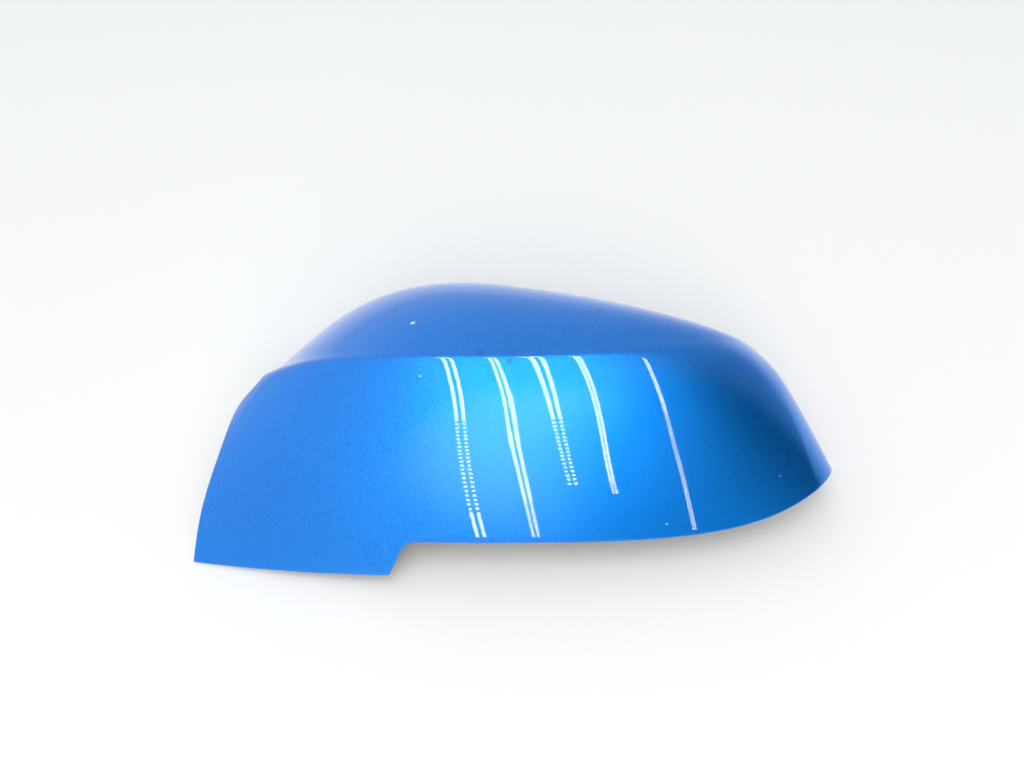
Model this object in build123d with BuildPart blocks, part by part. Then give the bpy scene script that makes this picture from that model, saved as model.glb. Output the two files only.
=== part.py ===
from build123d import *
from math import atan2, cos, degrees, hypot, radians, sin, tan
import os

os.makedirs("parts", exist_ok=True)

# Millimetres. The cover lies on its open side: X runs outboard, Y to the roof side, Z up.

# fan of upright section planes, and the arch of heights along it
fan_x = 0.0
fan_y = 213.0
fan_reach = 220.0
arch_middle = -2.2
arch_half_length = 109.0
arch_height = 66.5
arch_square_outboard = 3.1
arch_square_inboard = 2.25
arch_angles = [161, 152, 143, 134, 125, 115, 105, 95, 85, 75, 65, 55, 45, 35, 25, 15, 8, 4]

# guide curves in plan: where the roof meets the table, and the crease
rim_guide_points = [(-125.0, -17.0), (-79.0, 117.0), (27.0, 54.0), (125.0, 7.0)]
crease_guide_points = [(-110.0, 11.0), (-37.0, -12.0), (37.0, -10.0), (110.0, 12.5)]
rim_corner_power = 12

# section shape: slopes in degrees, roundness of the crease growing towards both ends
roof_slope = 8.0
roof_slope_inboard = 73.0
roof_slope_outboard = 23.0
roof_fullness = 0.98
roof_shoulder = 0.17
roof_shoulder_limit = 0.8
front_slope = 24.5
front_slope_end = 61.5
front_reach = 80.0
crease_round = 1.0
crease_round_inboard = 5.0
crease_round_outboard = 13.0
crease_round_limit = 0.5
end_power = 3

# wall: the inner form sits lower and falls more steeply, so that the thickness stays even
wall = 2.5
inner_drop = 1.04
inner_fall = 0.026

# how far the uncut form runs on below the table
foot_drop = 6.0
depth_below = 95.0

# lower and inboard edges, drawn on a plane tilted to lie along the front face
trim_tilt = 35.0
corner_point = (-121.4, -43.6)
corner_edge_middle = (-88.5, -45.8)
notch_low = (-46.5, -46.8)
notch_high = (-40.0, -33.9)
notch_round = 6.0
lower_edge_points = [(16.2, -33.8), (67.6, -31.3), (98.0, -23.7), (120.8, -9.1)]
lower_edge_exit = (133.5, 3.0)
inboard_edge_points = [(-96.2, 26.2), (-104.4, 17.1), (-109.8, 3.6), (-117.8, -23.5)]
neck_point = (-94.5, 29.6)
roof_edge_point = (-78.5, 75.0)
outside_roof_points = [(150.0, 20.0), (150.0, 90.0), (-40.0, 110.0)]

# inboard end in plan: end of the roof, and behind the inboard edge
roof_end_rim = (-78.0, 56.0)
roof_end_crease = (-97.0, 7.3)
behind_edge_points = [(-103.0, 4.2), (-112.0, -17.0)]
behind_edge_exit = (-129.0, -58.0)
outside_end_points = [(-150.0, -58.0), (-150.0, 90.0), (-78.0, 90.0)]

# hooks moulded inside, with a barb at the tip and two gussets behind
embed = 1.2
hook_width = 12.0
hook_thickness = 2.2
hook_tip_thickness = 1.54
hook_barb = 2.4
hook_barb_height = 5.0
hook_gusset = 7.0
gusset_thickness = 1.5
gusset_low = 8.0
gusset_full = 34.0
gusset_overlap = 0.5
roof_hook_places = [0.34, 0.52, 0.67]
roof_hook_inset = 14.0
roof_hook_tip = 6.0
front_hook_places = [(-66.0, -36.0, 8.0), (-8.0, -39.0, 12.0), (42.0, -37.0, 12.0)]

# locating pegs inside
peg_places = [(-56.0, 4.0), (38.0, 0.0)]
peg_radius = 2.5
peg_tip = 30.0
peg_length = 12.0
peg_lead = 0.8
post_radius = 4.0
post_rib_width = 14.0

# stiffening ribs inside
rib_angles = [137, 102, 87, 65]
rib_depth = 8.5
rib_thickness = 1.6
rib_low = 16.0
rib_zone_middle = 2.0
rib_zone_width = 74.0

# heights and reaches of stems and cutters that the form trims
tall = 80.0
far = 200.0
standing = (Align.CENTER, Align.CENTER, Align.MIN)
search_steps = 40


def guide(points):
    """Guide curve in plan."""
    with BuildLine() as line:
        Bezier(*points)
    return line.edges()[0]


rim_guide = guide(rim_guide_points)
crease_guide = guide(crease_guide_points)


def set_in(curve, place, inset):
    """Point on a guide curve, or on the line set in from it towards the front."""
    along = curve % place
    return curve @ place + Vector(along.Y, -along.X) * inset


def reach(curve, turn, inset):
    """Distance along one section from the fan centre to a guide curve, or to its line set in."""
    low = 0.0
    high = 1.0
    for step in range(search_steps):
        middle = (low + high) / 2
        point = set_in(curve, middle, inset)
        if atan2(point.X - fan_x, fan_y - point.Y) < turn:
            low = middle
        else:
            high = middle
    return hypot(point.X - fan_x, point.Y - fan_y)


def arch(angle):
    """Place along the cover and share of the full height at one arch angle."""
    across = cos(radians(angle))
    if across > 0:
        return across ** (2 / arch_square_outboard), sin(radians(angle)) ** (2 / arch_square_outboard)
    return -((-across) ** (2 / arch_square_inboard)), sin(radians(angle)) ** (2 / arch_square_inboard)


def section(angle, inset, end_inset):
    """Upright section of the form at one arch angle, set in from the outside."""
    along, rise = arch(angle)
    turn = (arch_middle + (arch_half_length - end_inset) * along) / fan_reach
    height = (arch_height - inner_drop * inset) * rise
    crease = reach(crease_guide, turn, 0)
    rim = reach(rim_guide, turn, inset)
    if along > 0:
        rim = crease - (crease - rim) * (1 - along ** rim_corner_power) ** (1 / rim_corner_power)
    end_slope = roof_slope_outboard if along > 0 else roof_slope_inboard
    end_round = crease_round_outboard if along > 0 else crease_round_inboard
    slope = radians(roof_slope + (end_slope - roof_slope) * abs(along) ** end_power)
    cut_back = crease_round + end_round * abs(along) ** end_power
    cut_back = min(cut_back, crease_round_limit * (crease - rim))
    fall = tan(radians(front_slope)) * rise
    fall_end = (tan(radians(front_slope_end)) + inner_fall * inset) * rise
    top = Vector(crease, height)
    roof_end = top - Vector(cos(slope), sin(slope)) * cut_back
    front_start = top + Vector(1, -fall).normalized() * cut_back
    pull = min(roof_shoulder * (crease - rim), roof_shoulder_limit * height / tan(slope))
    roof_pull = roof_end - Vector(pull, pull * tan(slope))
    roof_rise = Vector(rim, min(roof_fullness * height, roof_pull.Y))
    run = front_reach + inset - cut_back
    front_end = front_start + Vector(run, -(fall + fall_end) / 2 * run)
    front_first = front_start + Vector(run / 3, -fall * run / 3)
    front_second = front_end - Vector(run / 3, -fall_end * run / 3)
    bottom = -depth_below - inset
    across_section = (sin(turn), -cos(turn), 0)
    plane = Plane((fan_x, fan_y, 0), x_dir=across_section, z_dir=(-cos(turn), -sin(turn), 0))
    with BuildLine():
        back = Line((rim, bottom), (rim, -foot_drop), mode=Mode.PRIVATE)
        roof = Bezier((rim, -foot_drop), roof_rise, roof_pull, roof_end, mode=Mode.PRIVATE)
        crest = Bezier(roof_end, top, front_start, mode=Mode.PRIVATE)
        front = Bezier(front_start, front_first, front_second, front_end, mode=Mode.PRIVATE)
        end = Line(front_end, (front_end.X, bottom), mode=Mode.PRIVATE)
        base = Line((front_end.X, bottom), (rim, bottom), mode=Mode.PRIVATE)
    return plane.location * Face(Wire([back, roof, crest, front, end, base]))


def form(inset):
    """The filled form of the cover, set in from the outside."""
    with BuildPart() as filled:
        loft(sections=[section(angle, inset, inset) for angle in arch_angles], clean=False)
    return filled.part


def hook(place, heading, tip):
    """Snap hook hanging from the inside, with its barb on the left of the heading and two gussets behind."""
    ahead = (cos(radians(heading)), sin(radians(heading)), 0)
    left = (-ahead[1], ahead[0], 0)
    with BuildPart() as one:
        with BuildSketch(Plane((place[0], place[1], tip), x_dir=left, z_dir=ahead)):
            Polygon(
                (0, 0),
                (hook_tip_thickness, 0),
                (hook_thickness + hook_barb, hook_barb_height),
                (hook_thickness, hook_barb_height),
                (hook_thickness, tall),
                (0, tall),
                align=None,
            )
        extrude(amount=hook_width / 2, both=True)
        for side in (-1, 1):
            shift = side * (hook_width - gusset_thickness) / 2
            start = (place[0] + ahead[0] * shift, place[1] + ahead[1] * shift, tip)
            with BuildSketch(Plane(start, x_dir=left, z_dir=ahead)):
                Polygon(
                    (gusset_overlap, gusset_low),
                    (gusset_overlap, tall),
                    (-hook_gusset, tall),
                    (-hook_gusset, gusset_full),
                    (0, gusset_low),
                    align=None,
                )
            extrude(amount=gusset_thickness / 2, both=True)
    return one.part


def peg(place):
    """Round locating peg under a thicker post with a cross of thin ribs."""
    with BuildPart() as one:
        with Locations((place[0], place[1], peg_tip)):
            Cylinder(peg_radius, peg_length, align=standing)
        chamfer(one.edges().sort_by(Axis.Z)[0], peg_lead)
        with Locations((place[0], place[1], peg_tip + peg_length)):
            Cylinder(post_radius, tall, align=standing)
            Box(post_rib_width, gusset_thickness, tall, align=standing)
            Box(gusset_thickness, post_rib_width, tall, align=standing)
    return one.part


# stiffening ribs across the inside
with BuildPart() as ribs:
    for angle in rib_angles:
        extrude(to_extrude=section(angle, embed, 0), amount=rib_thickness / 2, both=True)
        extrude(to_extrude=section(angle, rib_depth, 0), amount=rib_thickness, both=True, mode=Mode.SUBTRACT)
    with Locations((0, rib_zone_middle, rib_low)):
        Box(2 * far, rib_zone_width, tall, align=standing, mode=Mode.INTERSECT)

# hooks and pegs, kept inside the wall
with BuildPart() as fastenings:
    for place in roof_hook_places:
        spot = set_in(rim_guide, place, roof_hook_inset)
        along = rim_guide % place
        add(hook((spot.X, spot.Y), degrees(atan2(along.Y, along.X)), roof_hook_tip))
    for x, y, tip in front_hook_places:
        add(hook((x, y), 180, tip))
    for place in peg_places:
        add(peg(place))
    add(form(embed), mode=Mode.INTERSECT)

# everything above the table that the trimmed edges leave, seen along the tilted trim direction
trim_direction = (0, -sin(radians(trim_tilt)), cos(radians(trim_tilt)))
with BuildPart() as keep:
    with BuildSketch(Plane((0, 0, 0), x_dir=(1, 0, 0), z_dir=trim_direction)) as trim:
        with BuildLine():
            Spline(neck_point, *inboard_edge_points, corner_point)
            ThreePointArc(corner_point, corner_edge_middle, notch_low)
            Line(notch_low, notch_high)
            Spline(notch_high, *lower_edge_points, lower_edge_exit)
            Polyline(lower_edge_exit, *outside_roof_points, roof_edge_point, neck_point)
        make_face()
        fillet(trim.vertices().sort_by_distance(notch_high)[0], notch_round)
    extrude(amount=far, both=True)
    Box(2 * far, 2 * far, far, align=standing, mode=Mode.INTERSECT)

# what is cut away beyond the inboard end of the roof
with BuildPart() as beyond:
    with BuildSketch():
        with BuildLine():
            Spline(roof_end_crease, *behind_edge_points, behind_edge_exit)
            Polyline(behind_edge_exit, *outside_end_points, roof_end_rim, roof_end_crease)
        make_face()
    extrude(amount=far, both=True)

# the shell with its fastenings and ribs, one moulding
with BuildPart() as mirror_cover:
    add(form(0), clean=False)
    add(keep.part, mode=Mode.INTERSECT, clean=False)
    add(beyond.part, mode=Mode.SUBTRACT, clean=False)
    add(form(wall), mode=Mode.SUBTRACT, clean=False)
    add(ribs.part, clean=False)
    add(fastenings.part, clean=False)

mirror_cover.part.label = "mirror_cover"
export_step(mirror_cover.part, "parts/mirror_cover.step")
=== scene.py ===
from math import cos, pi, radians, sin, tan

import bmesh
import bpy
import numpy as np
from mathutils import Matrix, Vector
from mathutils.bvhtree import BVHTree


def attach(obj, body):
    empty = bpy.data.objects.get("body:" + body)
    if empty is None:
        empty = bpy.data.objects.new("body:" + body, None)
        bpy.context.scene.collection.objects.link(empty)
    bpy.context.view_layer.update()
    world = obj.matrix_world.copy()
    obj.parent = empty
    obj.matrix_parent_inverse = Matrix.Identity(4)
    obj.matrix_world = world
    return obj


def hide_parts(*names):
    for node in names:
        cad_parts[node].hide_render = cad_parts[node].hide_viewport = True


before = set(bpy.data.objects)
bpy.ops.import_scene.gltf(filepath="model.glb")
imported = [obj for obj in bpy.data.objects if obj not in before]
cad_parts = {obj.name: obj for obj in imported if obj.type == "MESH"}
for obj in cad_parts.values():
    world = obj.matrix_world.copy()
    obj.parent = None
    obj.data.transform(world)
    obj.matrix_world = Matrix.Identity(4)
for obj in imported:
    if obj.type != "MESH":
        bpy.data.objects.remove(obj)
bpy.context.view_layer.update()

# Shape in millimetres, as in the solid: X outboard, Y to the roof side, Z up from the table.
mm = 0.001

# fan of upright section planes, and the arch of heights along it
fan_y = 213.0
fan_reach = 220.0
arch_middle = -2.2
arch_half_length = 109.0
arch_height = 66.5
arch_square_outboard = 3.1
arch_square_inboard = 2.25
first_angle = 161.0
last_angle = 0.2

# guide curves in plan
rim_guide_points = [(-125.0, -17.0), (-79.0, 117.0), (27.0, 54.0), (125.0, 7.0)]
crease_guide_points = [(-110.0, 11.0), (-37.0, -12.0), (37.0, -10.0), (110.0, 12.5)]
rim_corner_power = 12

# section shape
roof_slope = 8.0
roof_slope_inboard = 73.0
roof_slope_outboard = 23.0
roof_fullness = 0.98
roof_shoulder = 0.17
roof_shoulder_limit = 0.8
front_slope = 24.5
front_slope_end = 61.5
front_reach = 80.0
crease_round = 1.0
crease_round_inboard = 5.0
crease_round_outboard = 13.0
crease_round_limit = 0.5
end_power = 3
wall = 2.5
inner_drop = 1.04
inner_fall = 0.026
foot_drop = 6.0

# lower and inboard edges on the tilted plane
trim_tilt = 35.0
corner_point = (-121.4, -43.6)
corner_edge_middle = (-88.5, -45.8)
notch_low = (-46.5, -46.8)
notch_high = (-40.0, -33.9)
notch_round = 6.0
lower_edge_points = [(16.2, -33.8), (67.6, -31.3), (98.0, -23.7), (120.8, -9.1)]
lower_edge_exit = (133.5, 3.0)
inboard_edge_points = [(-96.2, 26.2), (-104.4, 17.1), (-109.8, 3.6), (-117.8, -23.5)]
neck_point = (-94.5, 29.6)
roof_edge_point = (-78.5, 75.0)
inboard_edge_run_on = (-128.6, -83.8)

# inboard end in plan
roof_end_rim = (-78.0, 56.0)
roof_end_crease = (-97.0, 7.3)
behind_edge_points = [(-103.0, 4.2), (-112.0, -17.0)]
behind_edge_exit = (-129.0, -58.0)
far = 200.0

# fineness of curves and searches
guide_steps = 3000
line_steps = 24
arc_steps = 12
notch_lead = 6
search_steps = 26
end_scan = 700
last_place = 2.999
crease_place = 1.5
small_step = 1e-4

# mesh of the shell: columns along the cover, rows over roof, crest and front
scan_columns = 900
scan_places = 200
columns = 380
rows = (36, 6, 42)
warp_angle = 100.0
first_step = 0.35
round_rows = 3
edge_round = 0.55
edge_round_inside = 0.35
edge_share = 0.3
row_share = 0.2
overspray_reach = 7.0
weld_reach = 0.002
sliver_reach = 0.0001

# hooks, pegs and ribs inside
embed = 1.2
hook_width = 12.0
hook_thickness = 2.2
hook_tip_thickness = 1.54
hook_barb = 2.4
hook_barb_height = 5.0
hook_gusset = 7.0
gusset_thickness = 1.5
gusset_low = 8.0
gusset_full = 34.0
gusset_overlap = 0.5
roof_hook_places = [0.34, 0.52, 0.67]
roof_hook_inset = 14.0
roof_hook_tip = 6.0
front_hook_places = [(-66.0, -36.0, 8.0), (-8.0, -39.0, 12.0), (42.0, -37.0, 12.0)]
peg_places = [(-56.0, 4.0), (38.0, 0.0)]
peg_radius = 2.5
peg_tip = 30.0
peg_length = 12.0
peg_lead = 0.8
post_radius = 4.0
post_rib_width = 14.0
rib_angles = [137.0, 102.0, 87.0, 65.0]
rib_depth = 8.5
rib_thickness = 1.6
rib_low = 16.0
rib_zone_middle = 2.0
rib_zone_width = 74.0
rib_places = (0.02, 2.98)

# fineness and rounding of the pieces inside
probe_depth = 1.0
hook_stations = 5
gusset_stations = 12
peg_sides = 48
post_rib_stations = 6
rib_stations = 300
hook_bevel = 0.25
peg_bevel = 0.2
rib_bevel = 0.2
bevel_segments = 2
bevel_angle = 40.0

# paint: colours are linear, marks are places in millimetres with a radius and a strength
paint_dark = (0.003, 0.208, 0.778, 1)
paint_light = (0.008, 0.285, 0.950, 1)
paint_metallic = 0.97
paint_roughness = 0.40
roughness_spread = 0.04
coat_weight = 1.0
coat_roughness = 0.02
noise_range = (0.3, 0.7)
flow_scale = 14.0
flow_detail = 2.0
shade_range = (0.35, 1.65)
flake_scale = 4200.0
flake_tilt = 0.08
peel_scale = 330.0
peel_detail = 1.0
peel_strength = 0.012
peel_depth = 0.1
mark_scale = 900.0
mark_detail = 3.0
mark_raggedness = 0.3
primer_colour = (0.82, 0.86, 0.90, 1)
chip_softness = 0.3
chip_places = [
    ((-37.6, 13.7, 60.7), 0.8, 0.9),
    ((-33.8, -10.8, 61.5), 0.4, 0.35),
    ((54.9, -49.8, 23.9), 0.45, 0.45),
    ((97.0, -33.2, 29.9), 0.4, 0.35),
]
smudge_colour = (0.012, 0.030, 0.080, 1)
smudge_softness = 0.6
smudge_places = [
    ((-12.6, -3.6, 66.1), 1.2, 0.55),
    ((-1.9, -7.2, 65.6), 1.0, 0.45),
    ((31.0, 19.4, 60.7), 1.2, 0.45),
]

# bare plastic inside, and paint drifted over its edges
overspray_colour = (0.020, 0.120, 0.420, 1)
plastic_dark = (0.028, 0.029, 0.031, 1)
plastic_light = (0.042, 0.043, 0.046, 1)
plastic_roughness = (0.48, 0.62)
grain_scale = 2400.0
grain_strength = 0.25
grain_depth = 0.05
cloud_scale = 160.0
plastic_detail = 4.0
drift_range = (0.2, 0.75)
drift_levels = (0.5, 1.0)
speckle_grain = 0.6
speckle_range = (0.55, 1.15)

# room: levels of the soft light, and headings that it comes from
floor_colour = (0.93, 0.93, 0.93, 1)
floor_size = 12.0
floor_gloss = 0.1
floor_roughness = (0.52, 0.60)
floor_grain_scale = 220.0
floor_grain_detail = 3.0
room_colour = (0.88, 0.955, 1.0, 1)
room_level = 0.647
room_slope = (-0.335, 0.095, 0.0)
bright_heading = (0.075, -0.784, 0.617)
bright_range = (0.876, 1.0)
bright_gain = 1.67
dark_heading = (0.731, -0.618, 0.289)
dark_range = (0.64, 0.86)
dark_loss = 0.97
horizon_level = 0.80
horizon_range = (0.0, 0.14)

# ceiling lamps in metres, with lines in plan and depths in front of the cover
light_height = 1.5
light_strength = 19.0
far_light_strength = 0.9
lamp_colour = (1.0, 0.93, 0.86, 1)
light_rows = [
    dict(
        path=[(-0.440, 0.05), (-0.343, -0.80), (-0.345, -1.55), (-0.380, -2.70), (-0.490, -8.00)],
        spacing=0.054, width=0.026, apart=(1.3, 4.4), pitch=0.060, lit=0.46, stagger=0.0,
    ),
    dict(
        path=[(-0.120, -0.10), (-0.024, -0.80), (0.020, -1.55), (0.100, -2.75), (0.540, -8.00)],
        spacing=0.032, width=0.019, apart=(3.7, 8.0), pitch=0.036, lit=0.7, stagger=0.0,
    ),
    dict(
        path=[(0.040, 0.05), (0.155, -0.79), (0.243, -1.42), (0.360, -2.17), (0.620, -3.62)],
        spacing=0.036, width=0.018, apart=(1.3, 4.0), pitch=0.060, lit=0.5, stagger=0.0,
    ),
    dict(
        path=[(0.217, -0.10), (0.355, -0.725), (0.470, -1.29), (0.650, -2.15), (1.070, -3.84)],
        spacing=0.020, width=0.0145, apart=(2.9, 4.0), pitch=0.036, lit=0.75, stagger=0.0,
    ),
    dict(
        path=[(0.690, -0.205), (0.820, -0.703), (1.046, -1.491), (1.467, -2.69), (3.400, -7.60)],
        spacing=0.017, width=0.013, apart=(1.1, 8.0), pitch=0.050, lit=0.6, stagger=0.5,
    ),
]
far_light_row = dict(
    path=[(-5.90, 1.20), (-3.60, -0.35), (-2.97, -1.05), (-2.78, -2.10)],
    spacing=0.14, width=0.08, apart=(-2.0, 3.0), pitch=0.12, lit=0.5, stagger=0.0,
)

# how the lights widen and stretch with depth
light_depths = [0.3, 1.2, 2.1, 3.0, 4.8, 6.6]
light_widening = [1.0, 1.03, 1.2, 1.42, 1.85, 2.35]
light_stretch = [1.0, 1.15, 1.63, 2.9, 5.6, 9.0]

# camera
camera_target = (-0.0012, 0.0043, 0.035)
camera_elevation = 55.0
camera_distance = 0.430
camera_lens = 39.6
camera_sensor = 36.0


def bezier(controls, places):
    """Points on Bezier curves: controls has one polygon a row, places one share a row."""
    share = places[:, None, None]
    while controls.shape[1] > 1:
        controls = controls[:, :-1] * (1 - share) + controls[:, 1:] * share
    return controls[:, 0]


def guide(points, inset):
    """Turns round the fan centre, and distances from it, along a guide curve or its line set in."""
    places = np.linspace(0, 1, guide_steps)
    line = bezier(np.repeat(np.array([points]), len(places), axis=0), places)
    along = np.gradient(line, axis=0)
    along /= np.linalg.norm(along, axis=1)[:, None]
    line = line + np.stack((along[:, 1], -along[:, 0]), axis=1) * inset
    return np.arctan2(line[:, 0], fan_y - line[:, 1]), np.hypot(line[:, 0], line[:, 1] - fan_y)


def form_points(angles, places, inset, end_inset):
    """Points of the form set in from the outside: places 0 to 1 roof, 1 to 2 crest, 2 to 3 front."""
    turned = np.radians(angles)
    outboard = np.cos(turned) > 0
    power = 2 / np.where(outboard, arch_square_outboard, arch_square_inboard)
    along = np.sign(np.cos(turned)) * np.abs(np.cos(turned)) ** power
    rise = np.sin(turned) ** power
    turn = (arch_middle + (arch_half_length - end_inset) * along) / fan_reach
    height = (arch_height - inner_drop * inset) * rise
    crease = np.interp(turn, *guide(crease_guide_points, 0))
    rim = np.interp(turn, *guide(rim_guide_points, inset))
    corner = (1 - np.abs(along) ** rim_corner_power) ** (1 / rim_corner_power)
    rim = np.where(outboard, crease - (crease - rim) * corner, rim)
    end = np.abs(along) ** end_power
    end_slope = np.where(outboard, roof_slope_outboard, roof_slope_inboard)
    end_round = np.where(outboard, crease_round_outboard, crease_round_inboard)
    slope = np.radians(roof_slope + (end_slope - roof_slope) * end)
    cut_back = np.minimum(crease_round + end_round * end, crease_round_limit * (crease - rim))
    fall = tan(radians(front_slope)) * rise
    fall_end = (tan(radians(front_slope_end)) + inner_fall * inset) * rise
    steep = np.hypot(1, fall)
    roof_x = crease - np.cos(slope) * cut_back
    roof_z = height - np.sin(slope) * cut_back
    front_x = crease + cut_back / steep
    front_z = height - fall / steep * cut_back
    pull = np.minimum(roof_shoulder * (crease - rim), roof_shoulder_limit * height / np.tan(slope))
    pull_z = roof_z - pull * np.tan(slope)
    rise_z = np.minimum(roof_fullness * height, pull_z)
    run = front_reach + inset - cut_back
    end_z = front_z - (fall + fall_end) / 2 * run
    polygons = (
        ((rim, -foot_drop + 0 * rim), (rim, rise_z), (roof_x - pull, pull_z), (roof_x, roof_z)),
        ((roof_x, roof_z), (crease, height), (front_x, front_z)),
        (
            (front_x, front_z),
            (front_x + run / 3, front_z - fall * run / 3),
            (front_x + run * 2 / 3, end_z + fall_end * run / 3),
            (front_x + run, end_z),
        ),
    )
    part = np.clip(places.astype(int), 0, 2)
    flat = np.zeros((len(places), 2))
    for number, polygon in enumerate(polygons):
        controls = np.stack([np.stack(point, axis=1) for point in polygon], axis=1)
        chosen = part == number
        flat[chosen] = bezier(controls[chosen], places[chosen] - number)
    return np.stack((np.sin(turn) * flat[:, 0], fan_y - np.cos(turn) * flat[:, 0], flat[:, 1]), axis=1)


def smooth_line(*points):
    """Smooth curve through a few points, as a polyline."""
    through = np.array(points)
    steps = np.linalg.norm(np.diff(through, axis=0), axis=1)
    count = len(through)
    system = np.eye(count)
    right = np.zeros_like(through)
    for k in range(1, count - 1):
        before = steps[k - 1]
        after = steps[k]
        system[k, k - 1 : k + 2] = (before, 2 * (before + after), after)
        right[k] = 6 * ((through[k + 1] - through[k]) / after - (through[k] - through[k - 1]) / before)
    bend = np.linalg.solve(system, right)
    line = []
    for k in range(count - 1):
        for share in np.linspace(0, 1, line_steps, endpoint=False):
            left = (1 - share) ** 3 - (1 - share)
            ahead = share**3 - share
            curve = (left * bend[k] + ahead * bend[k + 1]) * steps[k] ** 2 / 6
            line.append(through[k] * (1 - share) + through[k + 1] * share + curve)
    return line + [through[-1]]


def rounded_corner(before, corner, after, radius):
    """Arc that rounds one corner of an outline."""
    corner = np.array(corner)
    first = (np.array(before) - corner) / np.linalg.norm(np.array(before) - corner)
    second = (np.array(after) - corner) / np.linalg.norm(np.array(after) - corner)
    half = np.arccos(first @ second) / 2
    centre = corner + (first + second) / np.linalg.norm(first + second) * radius / sin(half)
    start = corner + first * radius / tan(half) - centre
    finish = corner + second * radius / tan(half) - centre
    arc = []
    for share in np.linspace(0, 1, arc_steps):
        mixed = start * (1 - share) + finish * share
        arc.append(centre + mixed / np.linalg.norm(mixed) * radius)
    return arc


lower_line = smooth_line(notch_high, *lower_edge_points, lower_edge_exit)
notch_arc = rounded_corner(notch_low, notch_high, lower_line[notch_lead], notch_round)
lower_outline = np.array(
    [(-far, corner_point[1])]
    + smooth_line(corner_point, corner_edge_middle, notch_low)
    + notch_arc
    + [point for point in lower_line if point[0] > notch_arc[-1][0]]
    + [(far, lower_edge_exit[1]), (far, far), (-far, far)]
)
inboard_outline = np.array(
    smooth_line(neck_point, *inboard_edge_points, corner_point)
    + [inboard_edge_run_on, (far, inboard_edge_run_on[1]), (far, far), roof_edge_point]
)
beyond_outline = np.array(
    smooth_line(roof_end_crease, *behind_edge_points, behind_edge_exit)
    + [(-far, behind_edge_exit[1]), (-far, far), (roof_end_rim[0], far), roof_end_rim]
)


def within(outline, points):
    """Which points lie inside a closed outline."""
    found = np.zeros(len(points), bool)
    for start, end in zip(outline, np.roll(outline, -1, axis=0)):
        if start[1] != end[1]:
            crosses = (start[1] > points[:, 1]) != (end[1] > points[:, 1])
            at = start[0] + (points[:, 1] - start[1]) / (end[1] - start[1]) * (end[0] - start[0])
            found ^= crosses & (points[:, 0] < at)
    return found


def on_trim_plane(points):
    """Places of points in the tilted plane that the edges are drawn on."""
    tilt = radians(trim_tilt)
    return np.stack((points[:, 0], points[:, 1] * cos(tilt) + points[:, 2] * sin(tilt)), axis=1)


def outboard_of_end(points):
    """Which points lie on the cover's side of its inboard end."""
    return within(inboard_outline, on_trim_plane(points)) & ~within(beyond_outline, points[:, :2])


def above_edges(points):
    """Which points lie above the table and the lower edge."""
    return (points[:, 2] >= 0) & within(lower_outline, on_trim_plane(points))


def halfway_search(good, bad, test):
    """Values between good and bad ones where a test turns false."""
    for step in range(search_steps):
        middle = (good + bad) / 2
        passed = test(middle)
        good = np.where(passed, middle, good)
        bad = np.where(passed, bad, middle)
    return good


class Surface:
    """Outer or inner surface of the shell, with columns that lean to follow its inboard end."""

    def __init__(self, inset):
        self.inset = inset
        self.end_places = np.linspace(0, last_place, end_scan)
        start = np.full_like(self.end_places, warp_angle)
        end = np.full_like(self.end_places, first_angle)
        self.end_angles = halfway_search(
            start, end, lambda angles: outboard_of_end(form_points(angles, self.end_places, inset, inset))
        )

    def points(self, bases, places):
        last = np.interp(places, self.end_places, self.end_angles)
        lean = (last - warp_angle) / (first_angle - warp_angle)
        angles = np.where(bases > warp_angle, warp_angle + (bases - warp_angle) * lean, bases)
        return form_points(angles, places, self.inset, self.inset)

    def span(self, bases):
        """Places where each column enters and leaves the cover."""
        places = np.linspace(0, last_place, scan_places)
        inside = [above_edges(self.points(bases, np.full_like(bases, place))) for place in places]
        inside = np.stack(inside, axis=1)
        first = inside.argmax(axis=1)
        last = scan_places - 1 - inside[:, ::-1].argmax(axis=1)

        def test(middle):
            return above_edges(self.points(bases, middle))

        low = halfway_search(places[first], places[np.maximum(first - 1, 0)], test)
        high = halfway_search(places[last], places[np.minimum(last + 1, scan_places - 1)], test)
        return low, high, inside.any(axis=1)


def rows_between(low, high):
    """Places of the rows of each column, block by block over roof, crest and front."""
    places = []
    for block, count in enumerate(rows):
        start = np.clip(block, low, high)
        end = np.clip(block + 1, low, high)
        for step in range(count):
            places.append(start + (end - start) * step / count)
    return places + [high]


def turn_rows(first, corner, second):
    """Rounded turn from one row to another, pulled to the corner."""
    found = []
    for step in range(1, round_rows + 1):
        share = step / (round_rows + 1)
        found.append(first * (1 - share) ** 2 + corner * 2 * share * (1 - share) + second * share**2)
    return found


def turn_ends(outer_corner, inner_corner):
    """Where the rounded turns at the two corners of a wall edge end."""
    across = inner_corner - outer_corner
    width = np.linalg.norm(across, axis=-1)[..., None]
    across = across / width
    turn_out = outer_corner + across * np.minimum(edge_round, edge_share * width)
    turn_in = inner_corner - across * np.minimum(edge_round_inside, edge_share * width)
    return turn_out, turn_in


def wall_edge(first, outer_corner, inner_corner, last):
    """Rows over one edge of the wall, with rounded corners."""
    turn_out, turn_in = turn_ends(outer_corner, inner_corner)
    over = turn_rows(first, outer_corner, turn_out) + [turn_out, turn_in]
    return over + turn_rows(turn_in, inner_corner, last)


def column_bases(outer):
    """Base angles of the columns, evenly spread along the edges and the crease."""
    scan = np.linspace(first_angle - first_step, last_angle, scan_columns)
    low, high, some = outer.span(scan)
    scan = scan[some]
    low = low[some]
    high = high[some]
    lines = [outer.points(scan, place) for place in (low, np.clip(crease_place, low, high), high)]
    moves = np.max([np.linalg.norm(np.diff(line, axis=0), axis=1) for line in lines], axis=0)
    travel = np.concatenate(([0], np.cumsum(moves)))
    return np.interp(np.linspace(0, travel[-1], columns), travel, scan)


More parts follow.
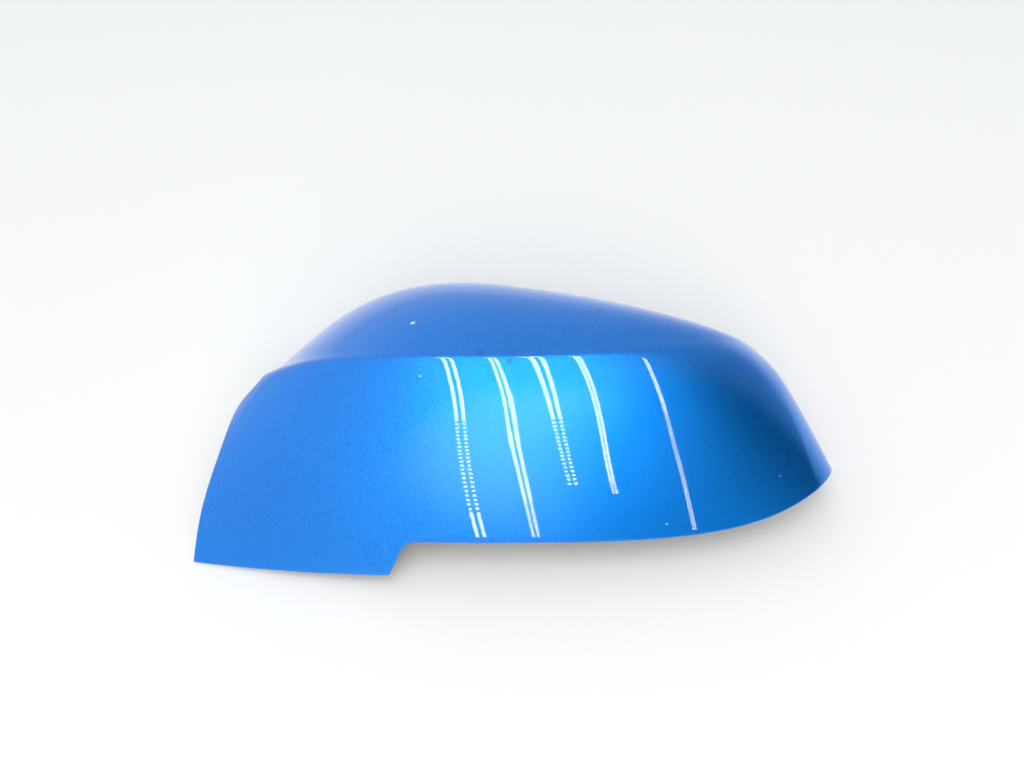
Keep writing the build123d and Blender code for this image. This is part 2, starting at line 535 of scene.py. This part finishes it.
def shell_rings():
    """Outside, edge and inside rows of every column, and the rounded inboard end before them."""
    outer = Surface(0.0)
    inner = Surface(wall)
    bases = column_bases(outer)
    found = []
    for surface, rounding in ((outer, edge_round), (inner, edge_round_inside)):
        low, high, some = surface.span(bases)
        low_corner = surface.points(bases, low)
        high_corner = surface.points(bases, high)
        low_move = surface.points(bases, low + small_step) - low_corner
        low_speed = np.linalg.norm(low_move, axis=1) / small_step
        high_move = surface.points(bases, high - small_step) - high_corner
        high_speed = np.linalg.norm(high_move, axis=1) / small_step
        low_step = np.minimum(rounding / low_speed, row_share * (high - low))
        high_step = np.minimum(rounding / high_speed, row_share * (high - low))
        places = rows_between(low + low_step, high - high_step)
        faces = np.stack([surface.points(bases, place) for place in places], axis=1)
        end_places = np.array([place[0] for place in places])
        end = surface.points(np.full_like(end_places, first_angle), end_places)
        found.append((faces, low_corner, high_corner, end))
    outside, outer_low, outer_high, outer_end = found[0]
    inside, inner_low, inner_high, inner_end = found[1]
    lower = np.stack(wall_edge(outside[:, -1], outer_high, inner_high, inside[:, -1]), axis=1)
    upper = np.stack(wall_edge(outside[:, 0], outer_low, inner_low, inside[:, 0]), axis=1)

    turn_out, turn_in = turn_ends(outer_end, inner_end)
    outer_turns = turn_rows(outside[0], outer_end, turn_out) + [turn_out]
    inner_turns = turn_rows(inside[0], inner_end, turn_in) + [turn_in]
    share = np.linspace(0, 1, lower.shape[1] + 2)[1:-1, None]
    rings = []
    for outer_turn, inner_turn in zip(reversed(outer_turns), reversed(inner_turns)):
        moved_out = outer_turn - outside[0]
        moved_in = inner_turn - inside[0]
        edge_low = lower[0] + moved_out[-1] * (1 - share) + moved_in[-1] * share
        edge_up = upper[0] + moved_out[0] * (1 - share) + moved_in[0] * share
        rings.append((outer_turn, edge_low, inner_turn, edge_up))
    for k in range(columns):
        rings.append((outside[k], lower[k], inside[k], upper[k]))
    return rings


def shell_mesh():
    """Closed mesh of the shell: slot 0 is painted, slot 1 bare inside."""
    rings = shell_rings()
    side = len(rings[0][0])
    edge = len(rings[0][1])
    around = 2 * (side + edge)
    points = []
    spray = []
    for outside, lower, inside, upper in rings:
        ring = np.concatenate((outside, lower, inside[::-1], upper[::-1]))
        ring[:, 2] = np.maximum(ring[:, 2], 0)
        points.extend(ring * mm)
        steps = np.linalg.norm(np.diff(inside[::-1], axis=0), axis=1)
        run = np.concatenate(([0], np.cumsum(steps)))
        near = np.exp(-np.minimum(run, run[-1] - run) / overspray_reach)
        spray.extend(np.concatenate((np.ones(side + edge), near, np.ones(edge))))
    faces = []
    slots = []
    for k in range(len(rings) - 1):
        for j in range(around):
            after = (j + 1) % around
            start = k * around
            faces.append((start + j, start + around + j, start + around + after, start + after))
            bare = k > round_rows and side + edge <= j < 2 * side + edge - 1
            slots.append(1 if bare else 0)
    across = 2 * side + edge - 1
    last = (len(rings) - 1) * around
    for start in (0, last):
        for j in range(side - 1):
            faces.append((start + j, start + j + 1, start + across - j - 1, start + across - j))
        faces.append(tuple(range(start + side - 1, start + side + edge + 1)))
        faces.append(tuple(range(start + across, start + around)) + (start,))
    slots += [0] * (len(faces) - len(slots))
    mesh = bpy.data.meshes.new("cover_shell")
    mesh.from_pydata([tuple(point) for point in points], [], faces)
    mesh.polygons.foreach_set("material_index", slots)
    mesh.polygons.foreach_set("use_smooth", [True] * len(faces))
    mesh.attributes.new("overspray", "FLOAT", "POINT").data.foreach_set("value", spray)
    work = bmesh.new()
    work.from_mesh(mesh)
    bmesh.ops.remove_doubles(work, verts=work.verts, dist=weld_reach * mm)
    bmesh.ops.dissolve_degenerate(work, dist=sliver_reach * mm, edges=work.edges)
    bmesh.ops.recalc_face_normals(work, faces=work.faces)
    work.to_mesh(mesh)
    work.free()
    return mesh


def add_object(name, mesh, *materials):
    """Object of the cover that rides on its body, with the given materials in its slots."""
    for material in materials:
        mesh.materials.append(material)
    found = bpy.data.objects.new(name, mesh)
    bpy.context.scene.collection.objects.link(found)
    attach(found, "root")
    return found


def prism(work, profiles):
    """Closed body through equal rings of points, capped at both ends."""
    rings = []
    for profile in profiles:
        rings.append([work.verts.new([value * mm for value in point]) for point in profile])
    count = len(rings[0])
    for before, after in zip(rings, rings[1:]):
        for j in range(count):
            work.faces.new((before[j], before[(j + 1) % count], after[(j + 1) % count], after[j]))
    work.faces.new(reversed(rings[0]))
    work.faces.new(rings[-1])


def finished(name, work, material, bevel):
    """Object from a bmesh, with small rounded edges and no doubled points."""
    bmesh.ops.recalc_face_normals(work, faces=work.faces)
    mesh = bpy.data.meshes.new(name)
    work.to_mesh(mesh)
    work.free()
    found = add_object(name, mesh, material)
    rounding = found.modifiers.new("rounded_edges", "BEVEL")
    rounding.width = bevel * mm
    rounding.segments = bevel_segments
    rounding.limit_method = "ANGLE"
    rounding.angle_limit = radians(bevel_angle)
    found.modifiers.new("welded_points", "WELD").merge_threshold = weld_reach * mm
    return found


def wall_height(tree, x, y):
    """Height just inside the wall above one spot in plan."""
    start = Vector((x * mm, y * mm, -probe_depth * mm))
    hit = tree.ray_cast(start, Vector((0, 0, 1)))[0]
    return hit.z / mm + embed


def add_hook(name, tree, place, heading, tip, material):
    """Snap hook with a barb at its tip and two gussets behind."""
    ahead = np.array((cos(heading), sin(heading)))
    left = np.array((-ahead[1], ahead[0]))

    def spot(aside, along):
        return np.array(place) + left * aside + ahead * along

    def column(aside, along, height):
        return (*spot(aside, along), height)

    work = bmesh.new()
    profiles = []
    for along in np.linspace(-hook_width / 2, hook_width / 2, hook_stations):
        front_top = wall_height(tree, *spot(hook_thickness, along))
        back_top = wall_height(tree, *spot(0, along))
        profiles.append([
            column(0, along, tip),
            column(hook_tip_thickness, along, tip),
            column(hook_thickness + hook_barb, along, tip + hook_barb_height),
            column(hook_thickness, along, tip + hook_barb_height),
            column(hook_thickness, along, front_top),
            column(0, along, back_top),
        ])
    prism(work, profiles)
    for side in (-1, 1):
        middle = side * (hook_width - gusset_thickness) / 2
        lower = []
        upper = []
        for aside in np.linspace(gusset_overlap, -hook_gusset, gusset_stations):
            share = max(-aside, 0) / hook_gusset
            low = tip + gusset_low + (gusset_full - gusset_low) * share
            top = wall_height(tree, *spot(aside, middle))
            if low > top - gusset_overlap:
                break
            lower.append((aside, low))
            upper.append((aside, top))
        outline = lower + upper[::-1]
        prism(work, [
            [column(aside, middle + shift, height) for aside, height in outline]
            for shift in (-gusset_thickness / 2, gusset_thickness / 2)
        ])
    finished(name, work, material, hook_bevel)


def add_peg(name, tree, place, material):
    """Round locating peg under a thicker post with a cross of thin ribs."""
    work = bmesh.new()
    shoulder = peg_tip + peg_length
    levels = (
        (peg_radius - peg_lead, peg_tip),
        (peg_radius, peg_tip + peg_lead),
        (peg_radius, shoulder),
        (post_radius, shoulder),
        (post_radius, None),
    )
    profiles = []
    for radius, height in levels:
        ring = []
        for turn in np.linspace(0, 2 * pi, peg_sides, endpoint=False):
            x = place[0] + radius * cos(turn)
            y = place[1] + radius * sin(turn)
            ring.append((x, y, wall_height(tree, x, y) if height is None else height))
        profiles.append(ring)
    prism(work, profiles)
    for turn in (0, pi / 2):
        profiles = []
        for along in np.linspace(-post_rib_width / 2, post_rib_width / 2, post_rib_stations):
            ring = []
            for aside in (-gusset_thickness / 2, gusset_thickness / 2):
                x = place[0] + along * cos(turn) - aside * sin(turn)
                y = place[1] + along * sin(turn) + aside * cos(turn)
                ends = [(x, y, shoulder), (x, y, wall_height(tree, x, y))]
                ring += ends if aside < 0 else ends[::-1]
            profiles.append(ring)
        prism(work, profiles)
    finished(name, work, material, peg_bevel)


def add_rib(name, angle, material):
    """Stiffening rib across the inside, from the wall to its free edge."""
    places = np.linspace(*rib_places, rib_stations)
    angles = np.full_like(places, angle)
    fixed = form_points(angles, places, embed, 0)
    free = form_points(angles, places, rib_depth, 0)
    kept = np.ones(len(places), bool)
    for line in (fixed, free):
        kept &= (line[:, 2] > rib_low) & (np.abs(line[:, 1] - rib_zone_middle) < rib_zone_width / 2)
    ends = form_points(np.array((angle, angle)), np.array((1.0, 2.0)), embed, 0)
    across = (ends[1] - ends[0])[:2]
    across = across / np.linalg.norm(across)
    aside = np.array((-across[1], across[0], 0)) * rib_thickness / 2
    work = bmesh.new()
    prism(work, [
        [outer + aside, outer - aside, inner - aside, inner + aside]
        for outer, inner in zip(fixed[kept], free[kept])
    ])
    finished(name, work, material, rib_bevel)


def node(tree, kind, inputs=None, **settings):
    """Shader node with its settings, and inputs given as values or as sockets to link."""
    made = tree.nodes.new(kind)
    for key, value in settings.items():
        setattr(made, key, value)
    for key, value in (inputs or {}).items():
        if isinstance(value, bpy.types.NodeSocket):
            tree.links.new(value, made.inputs[key])
        else:
            made.inputs[key].default_value = value
    return made


def new_material(name):
    """Material with a bare Principled shader."""
    material = bpy.data.materials.new(name)
    material.use_nodes = True
    tree = material.node_tree
    return material, tree, tree.nodes["Principled BSDF"]


def share_between(tree, value, low, high, to_low=0.0, to_high=1.0):
    """Value carried smoothly from one range to another."""
    inputs = {"Value": value, "From Min": low, "From Max": high, "To Min": to_low, "To Max": to_high}
    return node(tree, "ShaderNodeMapRange", inputs, interpolation_type="SMOOTHSTEP").outputs["Result"]


def noise(tree, coords, scale, detail):
    """Soft noise over the surface."""
    inputs = {"Vector": coords, "Scale": scale, "Detail": detail}
    return node(tree, "ShaderNodeTexNoise", inputs).outputs["Fac"]


def mixed(tree, share, first, second):
    """Colour mixed by a share: sockets 6 and 7 of the node take colours, and 2 gives the result."""
    inputs = {"Factor": share, 6: first, 7: second}
    return node(tree, "ShaderNodeMix", inputs, data_type="RGBA").outputs[2]


def counted(tree, operation, first, second):
    """Two values put together by one sum."""
    return node(tree, "ShaderNodeMath", {0: first, 1: second}, operation=operation).outputs[0]


def marks(tree, coords, ragged, places, softness):
    """Share that shows small marks: each has a spot in millimetres, a radius and a strength."""
    total = 0.0
    for spot, radius, strength in places:
        middle = [value * mm for value in spot]
        ends = {0: coords, 1: middle}
        away = node(tree, "ShaderNodeVectorMath", ends, operation="DISTANCE").outputs["Value"]
        rough = counted(tree, "MULTIPLY", ragged, radius * mm)
        away = counted(tree, "ADD", away, rough)
        span = (radius * mm * (1 + softness), radius * mm * (1 - softness))
        here = share_between(tree, away, *span, 0.0, strength)
        total = counted(tree, "MAXIMUM", here, total)
    return total


def car_paint():
    """Blue metallic paint under clear coat, with its chips and smudges."""
    material, tree, shader = new_material("blue_metallic_paint")
    coords = node(tree, "ShaderNodeTexCoord").outputs["Object"]
    flakes = node(tree, "ShaderNodeTexVoronoi", {"Vector": coords, "Scale": flake_scale}).outputs["Color"]
    sparkle = node(tree, "ShaderNodeSeparateColor", {"Color": flakes}).outputs["Red"]
    flow = noise(tree, coords, flow_scale, flow_detail)
    shade = counted(tree, "ADD", share_between(tree, sparkle, 0.0, 1.0), flow)
    colour = mixed(tree, share_between(tree, shade, *shade_range), paint_dark, paint_light)

    ragged = noise(tree, coords, mark_scale, mark_detail)
    ragged = share_between(tree, ragged, *noise_range, -mark_raggedness, mark_raggedness)
    smudged = marks(tree, coords, ragged, smudge_places, smudge_softness)
    chipped = marks(tree, coords, ragged, chip_places, chip_softness)
    colour = mixed(tree, smudged, colour, smudge_colour)
    colour = mixed(tree, chipped, colour, primer_colour)
    tree.links.new(colour, shader.inputs["Base Color"])
    metal = share_between(tree, counted(tree, "MAXIMUM", chipped, smudged), 0.0, 1.0, paint_metallic, 0.0)
    tree.links.new(metal, shader.inputs["Metallic"])
    levels = (paint_roughness - roughness_spread, paint_roughness + roughness_spread)
    rough = share_between(tree, sparkle, 0.0, 1.0, *levels)
    tree.links.new(rough, shader.inputs["Roughness"])

    centred = {0: flakes, 1: (0.5, 0.5, 0.5)}
    tilt = node(tree, "ShaderNodeVectorMath", centred, operation="SUBTRACT").outputs[0]
    tilt = node(tree, "ShaderNodeVectorMath", {0: tilt, "Scale": flake_tilt}, operation="SCALE").outputs[0]
    upright = node(tree, "ShaderNodeNewGeometry").outputs["Normal"]
    leaning = node(tree, "ShaderNodeVectorMath", {0: upright, 1: tilt}, operation="ADD").outputs[0]
    leaning = node(tree, "ShaderNodeVectorMath", {0: leaning}, operation="NORMALIZE").outputs[0]
    tree.links.new(leaning, shader.inputs["Normal"])
    peel = noise(tree, coords, peel_scale, peel_detail)
    coat = {"Height": peel, "Strength": peel_strength, "Distance": peel_depth * mm}
    tree.links.new(node(tree, "ShaderNodeBump", coat).outputs["Normal"], shader.inputs["Coat Normal"])
    shader.inputs["Coat Weight"].default_value = coat_weight
    shader.inputs["Coat Roughness"].default_value = coat_roughness
    return material


def bare_plastic():
    """Moulded inside: dark plastic with fine grain, and paint drifted over its edges."""
    material, tree, shader = new_material("bare_moulded_plastic")
    coords = node(tree, "ShaderNodeTexCoord").outputs["Object"]
    grain = noise(tree, coords, grain_scale, plastic_detail)
    cloud = noise(tree, coords, cloud_scale, plastic_detail)
    spray = node(tree, "ShaderNodeAttribute", attribute_name="overspray").outputs["Fac"]
    drift = counted(tree, "MULTIPLY", spray, share_between(tree, cloud, *drift_range, *drift_levels))
    plastic = mixed(tree, share_between(tree, cloud, *noise_range), plastic_dark, plastic_light)
    speckled = counted(tree, "ADD", drift, counted(tree, "MULTIPLY", grain, speckle_grain))
    speckled = share_between(tree, speckled, *speckle_range)
    tree.links.new(mixed(tree, speckled, plastic, overspray_colour), shader.inputs["Base Color"])
    rough = share_between(tree, grain, *noise_range, *plastic_roughness)
    tree.links.new(rough, shader.inputs["Roughness"])
    bump = {"Height": grain, "Strength": grain_strength, "Distance": grain_depth * mm}
    bump = node(tree, "ShaderNodeBump", bump)
    tree.links.new(bump.outputs["Normal"], shader.inputs["Normal"])
    return material


def plain_stage(name, mesh, material):
    """Object that isn't part of the cover."""
    mesh.materials.append(material)
    found = bpy.data.objects.new(name, mesh)
    bpy.context.scene.collection.objects.link(found)
    return found


def white_floor():
    """Plain pale table that the cover lies on."""
    material, tree, shader = new_material("white_table")
    coords = node(tree, "ShaderNodeTexCoord").outputs["Object"]
    grain = noise(tree, coords, floor_grain_scale, floor_grain_detail)
    rough = share_between(tree, grain, *noise_range, *floor_roughness)
    tree.links.new(rough, shader.inputs["Roughness"])
    shader.inputs["Base Color"].default_value = floor_colour
    shader.inputs["Specular IOR Level"].default_value = floor_gloss
    mesh = bpy.data.meshes.new("floor")
    half = floor_size / 2
    corners = [(-half, -half, 0), (half, -half, 0), (half, half, 0), (-half, half, 0)]
    mesh.from_pydata(corners, [], [(0, 1, 2, 3)])
    plain_stage("floor", mesh, material)


def lamp_glow(name, strength):
    """Material that gives light of one strength."""
    material = bpy.data.materials.new(name)
    material.use_nodes = True
    tree = material.node_tree
    tree.nodes.remove(tree.nodes["Principled BSDF"])
    glow = node(tree, "ShaderNodeEmission", {"Color": lamp_colour, "Strength": strength})
    tree.links.new(glow.outputs["Emission"], tree.nodes["Material Output"].inputs["Surface"])
    return material


def light_row(name, glow, path, spacing, width, apart, pitch, lit, stagger):
    """Ceiling lamp with two rows of lights along a line in plan, single ones where they stand apart."""
    line = np.array(smooth_line(*path))
    steps = np.linalg.norm(np.diff(line, axis=0), axis=1)
    run = np.concatenate(([0], np.cumsum(steps)))

    def spot(distance):
        return np.array([np.interp(distance, run, line[:, axis]) for axis in (0, 1)])

    points = []
    faces = []
    at = 0.0
    step = pitch
    while at + 2 * step < run[-1]:
        depth = -spot(at)[1]
        step = pitch * np.interp(depth, light_depths, light_stretch)
        wider = np.interp(depth, light_depths, light_widening)
        share = lit if apart[0] < depth < apart[1] else 1.0
        for side, shift in ((-1, 0.0), (1, stagger)):
            ends = [spot(at + (shift + end) * step) for end in (0, share)]
            ahead = ends[1] - ends[0]
            aside = np.array((-ahead[1], ahead[0])) / np.linalg.norm(ahead)
            first = len(points)
            for end, across in ((0, -1), (1, -1), (1, 1), (0, 1)):
                corner = ends[end] + aside * (side * spacing + across * width) * wider / 2
                points.append((*corner, light_height))
            faces.append((first, first + 1, first + 2, first + 3))
        at += step
    mesh = bpy.data.meshes.new(name)
    mesh.from_pydata(points, [], faces)
    lamp = plain_stage(name, mesh, glow)
    lamp.visible_camera = False
    lamp.visible_shadow = False


def toward(tree, direction, heading, span, levels):
    """Level that goes from one to another as a direction of the room nears one heading."""
    pair = {0: direction, 1: heading}
    along = node(tree, "ShaderNodeVectorMath", pair, operation="DOT_PRODUCT").outputs["Value"]
    return share_between(tree, along, *span, *levels)


def soft_room():
    """Soft light all round: brighter in front above, darker outboard, and even along the horizon."""
    world = bpy.data.worlds.new("soft_room")
    world.use_nodes = True
    bpy.context.scene.world = world
    tree = world.node_tree
    direction = node(tree, "ShaderNodeTexCoord").outputs["Generated"]
    aside = {0: direction, 1: room_slope}
    level = node(tree, "ShaderNodeVectorMath", aside, operation="DOT_PRODUCT").outputs["Value"]
    level = counted(tree, "ADD", level, room_level)
    bright = toward(tree, direction, bright_heading, bright_range, (0.0, bright_gain))
    level = counted(tree, "ADD", level, bright)
    kept = toward(tree, direction, dark_heading, dark_range, (1.0, 1.0 - dark_loss))
    level = counted(tree, "MULTIPLY", level, kept)
    above = toward(tree, direction, (0, 0, 1), horizon_range, (0.0, 1.0))
    level = counted(tree, "MULTIPLY", counted(tree, "SUBTRACT", level, horizon_level), above)
    level = counted(tree, "ADD", level, horizon_level)
    tree.links.new(level, tree.nodes["Background"].inputs["Strength"])
    tree.nodes["Background"].inputs["Color"].default_value = room_colour


def add_camera():
    """Camera as in the photo: level sideways, looking down on the front."""
    data = bpy.data.cameras.new("camera")
    data.lens = camera_lens
    data.sensor_width = camera_sensor
    camera = bpy.data.objects.new("camera", data)
    bpy.context.scene.collection.objects.link(camera)
    rise = radians(camera_elevation)
    target = Vector(camera_target)
    camera.location = target + Vector((0, -cos(rise), sin(rise))) * camera_distance
    camera.rotation_euler = (target - camera.location).to_track_quat("-Z", "Y").to_euler()
    bpy.context.scene.camera = camera


add_camera()
soft_room()
white_floor()
glow = lamp_glow("light_row_glow", light_strength)
faint_glow = lamp_glow("far_light_row_glow", far_light_strength)
for number, row in enumerate(light_rows):
    light_row(f"light_row_{number}", glow, **row)
light_row("far_light_row", faint_glow, **far_light_row)

paint = car_paint()
plastic = bare_plastic()
shell = add_object("cover_shell", shell_mesh(), paint, plastic)
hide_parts("mirror_cover")
corners = [vertex.co for vertex in shell.data.vertices]
sides = [face.vertices for face in shell.data.polygons]
inside = BVHTree.FromPolygons(corners, sides)
places = np.array(roof_hook_places)
rim = np.repeat(np.array([rim_guide_points]), len(places), axis=0)
spots = bezier(rim, places)
headings = bezier(np.diff(rim, axis=1), places)
for number, (spot, heading) in enumerate(zip(spots, headings)):
    heading = heading / np.linalg.norm(heading)
    place = spot + np.array((heading[1], -heading[0])) * roof_hook_inset
    turn = np.arctan2(heading[1], heading[0])
    add_hook(f"roof_hook_{number}", inside, place, turn, roof_hook_tip, plastic)
for number, (x, y, tip) in enumerate(front_hook_places):
    add_hook(f"front_hook_{number}", inside, (x, y), pi, tip, plastic)
for number, place in enumerate(peg_places):
    add_peg(f"peg_{number}", inside, place, plastic)
for number, angle in enumerate(rib_angles):
    add_rib(f"rib_{number}", angle, plastic)

bpy.context.scene.view_settings.view_transform = "Standard"
